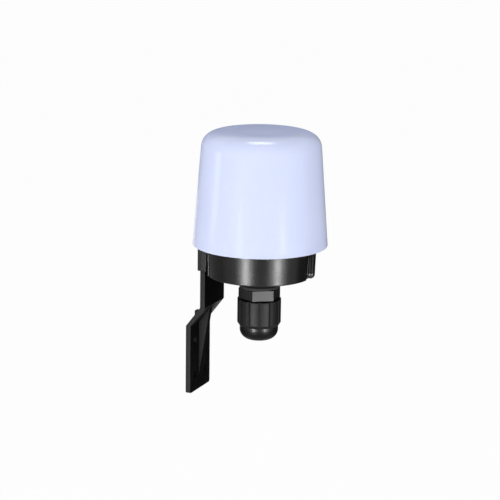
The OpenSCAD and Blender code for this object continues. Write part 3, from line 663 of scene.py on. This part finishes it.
def screw_hole_tree(material):
    """Geometry nodes that drill a grid of screw holes through a plate"""
    tree, sizes = open_tree("screw_holes", "Spacing X", "Spacing Z", "Hole Radius", "Drill Length")
    nodes, links = tree.nodes, tree.links
    grid = nodes.new("GeometryNodeMeshGrid")
    grid.inputs["Vertices X"].default_value = 2
    grid.inputs["Vertices Y"].default_value = 2
    links.new(sizes.outputs["Spacing X"], grid.inputs["Size X"])
    links.new(sizes.outputs["Spacing Z"], grid.inputs["Size Y"])
    drill = nodes.new("GeometryNodeMeshCylinder")
    drill.inputs["Vertices"].default_value = 64
    links.new(sizes.outputs["Hole Radius"], drill.inputs["Radius"])
    links.new(sizes.outputs["Drill Length"], drill.inputs["Depth"])
    drills = nodes.new("GeometryNodeInstanceOnPoints")
    links.new(grid.outputs["Mesh"], drills.inputs["Points"])
    links.new(drill.outputs["Mesh"], drills.inputs["Instance"])
    upright = nodes.new("GeometryNodeTransform")
    upright.inputs["Rotation"].default_value = (math.pi / 2, 0, 0)
    links.new(drills.outputs[0], upright.inputs["Geometry"])
    real = nodes.new("GeometryNodeRealizeInstances")
    links.new(upright.outputs[0], real.inputs[0])
    bore = nodes.new("GeometryNodeMeshBoolean")
    bore.operation = "DIFFERENCE"
    bore.solver = "EXACT"
    links.new(sizes.outputs["Geometry"], bore.inputs["Mesh 1"])
    links.new(real.outputs[0], bore.inputs["Mesh 2"])
    return close_tree(tree, bore.outputs[0], material)


hole_dx, hole_dz, hole_r = 16.0, 22.0, 2.25
flat_within, side_facing, hole_margin = math.radians(0.5), 0.7, 1.2
add_nodes(bracket_moulding, screw_hole_tree(bracket_black), {
    "Spacing X": hole_dx * mm, "Spacing Z": hole_dz * mm, "Hole Radius": hole_r * mm,
    "Drill Length": 4 * plate_t * mm})
bm = bmesh.new()
bm.from_mesh(bracket_moulding.data)
bmesh.ops.dissolve_limit(bm, angle_limit=flat_within, verts=bm.verts, edges=bm.edges)
bm.to_mesh(bracket_moulding.data)
bm.free()
soften_edges(bracket_moulding, plate_edge, 2, 50)


def gets_painted_light(face):
    """Tells the faces that get painted light, the bracket's side faces and its upper holes' walls, from other
    faces and the lower holes' walls
    """
    hole_distance = math.hypot(abs(face.center.x) / mm - hole_dx / 2, face.center.z / mm + hole_dz / 2)
    return abs(face.normal.x) > side_facing and hole_distance > hole_margin * hole_r


def paint_side_light(piece, material, colour, roughness):
    """Paints light on a moulding's side faces as a paler colour and gives them a duller finish, by an
    attribute that marks them
    """
    marks = piece.data.attributes.new("side", "FLOAT", "FACE")
    marks.data.foreach_set("value", [float(gets_painted_light(face)) for face in piece.data.polygons])
    nodes, links = material.node_tree.nodes, material.node_tree.links
    shader = nodes["Principled BSDF"]
    side = nodes.new("ShaderNodeAttribute")
    side.attribute_name = "side"
    # Painted light: the marked faces get a paler colour, as if lit from the left
    paler = nodes.new("ShaderNodeMix")
    paler.data_type = "RGBA"
    links.new(side.outputs["Fac"], paler.inputs["Factor"])
    links.new(shader.inputs["Base Color"].links[0].from_socket, paler.inputs[6])
    paler.inputs[7].default_value = (*colour, 1)
    links.new(paler.outputs[2], shader.inputs["Base Color"])
    duller = nodes.new("ShaderNodeMix")
    links.new(side.outputs["Fac"], duller.inputs["Factor"])
    links.new(shader.inputs["Roughness"].links[0].from_socket, duller.inputs[2])
    duller.inputs[3].default_value = roughness
    links.new(duller.outputs[0], shader.inputs["Roughness"])


# The paler side colour is painted light on the sides and upper holes' walls; only the duller roughness is the
# moulding's own finish
paint_side_light(bracket_moulding, bracket_black, (0.026, 0.026, 0.026), 0.6)
finish_piece(bracket_moulding, bracket_black, "housing", "bracket_plastic", "mounting_bracket")


# Studio: a pale floor well below the switch and a white surround with soft light. Three large soft boxes
# light the switch, strips in front, beside and behind it show only as reflections in the plastic, and cards
# that only reflections see keep its turned-away faces dark.
view_turn, view_rise, view_roll = math.radians(-67), math.radians(13.15), math.radians(0.8)
rim_centre = Vector((0, axis_y, base_z + cover_rim_z * mm))
toward_camera = math.degrees(math.atan2(-math.cos(view_turn), math.sin(view_turn)))
floor_z, floor_half, floor_grey, floor_white = -0.45, 15.0, 0.9, 0.97
light_below, light_above = 0.9, 0.25


def seen_and_lit(tree, seen, lit, output):
    """One shader for what the camera, reflections and glass see, another for the light that it gives"""
    nodes, links = tree.nodes, tree.links
    path = nodes.new("ShaderNodeLightPath")
    either = None
    for ray in ("Is Camera Ray", "Is Glossy Ray", "Is Transmission Ray"):
        if either is None:
            either = path.outputs[ray]
            continue
        largest = nodes.new("ShaderNodeMath")
        largest.operation = "MAXIMUM"
        links.new(either, largest.inputs[0])
        links.new(path.outputs[ray], largest.inputs[1])
        either = largest.outputs[0]
    choose = nodes.new("ShaderNodeMixShader")
    links.new(either, choose.inputs[0])
    links.new(lit, choose.inputs[1])
    links.new(seen, choose.inputs[2])
    links.new(choose.outputs[0], output)


floor_mesh = bpy.data.meshes.new("floor")
floor_corners = [(-floor_half, -floor_half, floor_z), (floor_half, -floor_half, floor_z),
                 (floor_half, floor_half, floor_z), (-floor_half, floor_half, floor_z)]
floor_mesh.from_pydata(floor_corners, [], [(0, 1, 2, 3)])
floor = bpy.data.objects.new("floor", floor_mesh)
scene.collection.objects.link(floor)
floor_pale = bpy.data.materials.new("floor_pale")
floor_pale.use_nodes = True
floor_pale.node_tree.nodes.clear()
nodes, links = floor_pale.node_tree.nodes, floor_pale.node_tree.links
paper = nodes.new("ShaderNodeBsdfDiffuse")
paper.inputs["Color"].default_value = (floor_grey, floor_grey, floor_grey, 1)
glow = nodes.new("ShaderNodeEmission")
glow.inputs["Strength"].default_value = 1
shaded = nodes.new("ShaderNodeMixShader")
shaded.inputs[0].default_value = floor_white
links.new(paper.outputs[0], shaded.inputs[1])
links.new(glow.outputs[0], shaded.inputs[2])
out = nodes.new("ShaderNodeOutputMaterial")
seen_and_lit(floor_pale.node_tree, shaded.outputs[0], paper.outputs[0], out.inputs["Surface"])
floor_mesh.materials.append(floor_pale)

world = bpy.data.worlds.new("studio")
scene.world = world
world.use_nodes = True
world.node_tree.nodes.clear()
nodes, links = world.node_tree.nodes, world.node_tree.links
white = nodes.new("ShaderNodeBackground")
white.inputs["Color"].default_value = (1, 1, 1, 1)
white.inputs["Strength"].default_value = 1
soft = nodes.new("ShaderNodeBackground")
sky = nodes.new("ShaderNodeTexCoord")
sky_split = nodes.new("ShaderNodeSeparateXYZ")
sky_fall = nodes.new("ShaderNodeMapRange")
sky_fall.inputs["To Min"].default_value = light_below
sky_fall.inputs["To Max"].default_value = light_above
links.new(sky.outputs["Generated"], sky_split.inputs[0])
links.new(sky_split.outputs[2], sky_fall.inputs["Value"])
links.new(sky_fall.outputs["Result"], soft.inputs["Strength"])
out = nodes.new("ShaderNodeOutputWorld")
seen_and_lit(world.node_tree, white.outputs[0], soft.outputs[0], out.inputs["Surface"])


def direction(turn, rise):
    """Direction at an angle right of the camera and above the horizon, both in degrees"""
    angle, lift = math.radians(toward_camera + turn), math.radians(rise)
    return Vector((math.cos(angle) * math.cos(lift), math.sin(angle) * math.cos(lift), math.sin(lift)))


def lamp_facing(name, turn, rise, reach, width, height, radiance, gloss_only):
    """A flat lamp that faces the switch, of a given brightness, which lights it or only shows in its gloss"""
    lamp = bpy.data.lights.new(name, "AREA")
    lamp.shape = "RECTANGLE"
    lamp.size, lamp.size_y = width, height
    lamp.energy = radiance * math.pi * width * height
    holder = bpy.data.objects.new(name, lamp)
    out_way = direction(turn, rise)
    holder.location = rim_centre + out_way * reach
    holder.rotation_euler = out_way.to_track_quat("Z", "Y").to_euler()
    holder.visible_camera = False
    holder.visible_diffuse = not gloss_only
    holder.visible_glossy = gloss_only
    scene.collection.objects.link(holder)


# Each lamp's turn and rise in degrees, its distance, width and height in metres, and its brightness
soft_boxes = {
    "key": (-34, 4, 1.4, 1.1, 1.0, 3.4),
    "fill": (64, 4, 1.4, 1.1, 1.0, 2.15),
    "top": (0, 88, 1.2, 0.6, 0.6, 2.6),
}
gloss_strips = {
    "left_strip": (-30.5, -21, 1.2, 0.21, 0.23, 68),
    "left_glow": (-30.5, -21, 1.22, 0.62, 0.23, 9),
    "right_strip": (38.5, -22.3, 1.2, 0.24, 0.25, 46),
    "right_glow": (38.5, -19, 1.22, 0.76, 0.28, 7.5),
    "left_spill": (-35, -8.2, 1.2, 0.17, 0.2, 6.5),
    "right_spill": (38.4, -8.2, 1.2, 0.17, 0.2, 8),
    "side_strip": (-87, 0, 0.55, 0.135, 0.105, 2.7),
    "back_strip": (180, 78, 0.8, 0.24, 0.34, 8.5),
}
for name, values in soft_boxes.items():
    lamp_facing(name, *values, gloss_only=False)
for name, values in gloss_strips.items():
    lamp_facing(name, *values, gloss_only=True)


def card_facing(name, turn, rise, reach, width, height, grey, tint=(1, 1, 1)):
    """A grey card that only reflections see, so that faces turned away from the camera stay dark"""
    bm = bmesh.new()
    bmesh.ops.create_grid(bm, x_segments=1, y_segments=1, size=0.5)
    mesh = bpy.data.meshes.new(name)
    bm.to_mesh(mesh)
    bm.free()
    card = bpy.data.objects.new(name, mesh)
    out_way = direction(turn, rise)
    card.matrix_world = (Matrix.Translation(rim_centre + out_way * reach)
                         @ out_way.to_track_quat("Z", "Y").to_matrix().to_4x4()
                         @ Matrix.Diagonal((width, height, 1, 1)))
    shade = bpy.data.materials.new(name)
    shade.use_nodes = True
    shade.node_tree.nodes.clear()
    glow = shade.node_tree.nodes.new("ShaderNodeEmission")
    glow.inputs["Color"].default_value = (*tint, 1)
    glow.inputs["Strength"].default_value = grey
    out = shade.node_tree.nodes.new("ShaderNodeOutputMaterial")
    shade.node_tree.links.new(glow.outputs[0], out.inputs["Surface"])
    mesh.materials.append(shade)
    card.visible_camera = False
    card.visible_diffuse = False
    card.visible_shadow = False
    scene.collection.objects.link(card)


card_facing("left_flag", -115, -5, 0.6, 0.8, 1.0, 0.35)
card_facing("right_flag", 128, -5, 0.6, 1.0, 1.0, 0.04)
card_facing("back_flag", 187, 12, 1.2, 1.15, 0.9, 0.44, (0.56, 0.64, 1))

# Camera: the photograph's angle, with the rim's centre a little right of and above the picture's middle
camera_reach, camera_lens, px_to_mm = 1.096, 128.1, 0.616
rim_px, frame_px = (260.1, 243.9), 500
back = Vector((math.sin(view_turn) * math.cos(view_rise), -math.cos(view_turn) * math.cos(view_rise),
               math.sin(view_rise)))
right = Vector((math.cos(view_turn), math.sin(view_turn), 0))
up = back.cross(right)
tilted_right = right * math.cos(view_roll) + up * math.sin(view_roll)
tilted_up = up * math.cos(view_roll) - right * math.sin(view_roll)
off_right = (rim_px[0] - frame_px / 2) * px_to_mm * mm
off_up = (frame_px / 2 - rim_px[1]) * px_to_mm * mm
stand = rim_centre + back * camera_reach - tilted_right * off_right - tilted_up * off_up
lens = bpy.data.cameras.new("camera")
lens.lens = camera_lens
camera = bpy.data.objects.new("camera", lens)
camera.matrix_world = Matrix((tilted_right, tilted_up, back)).transposed().to_4x4()
camera.location = stand
scene.collection.objects.link(camera)
scene.camera = camera
scene.view_settings.view_transform = "Standard"
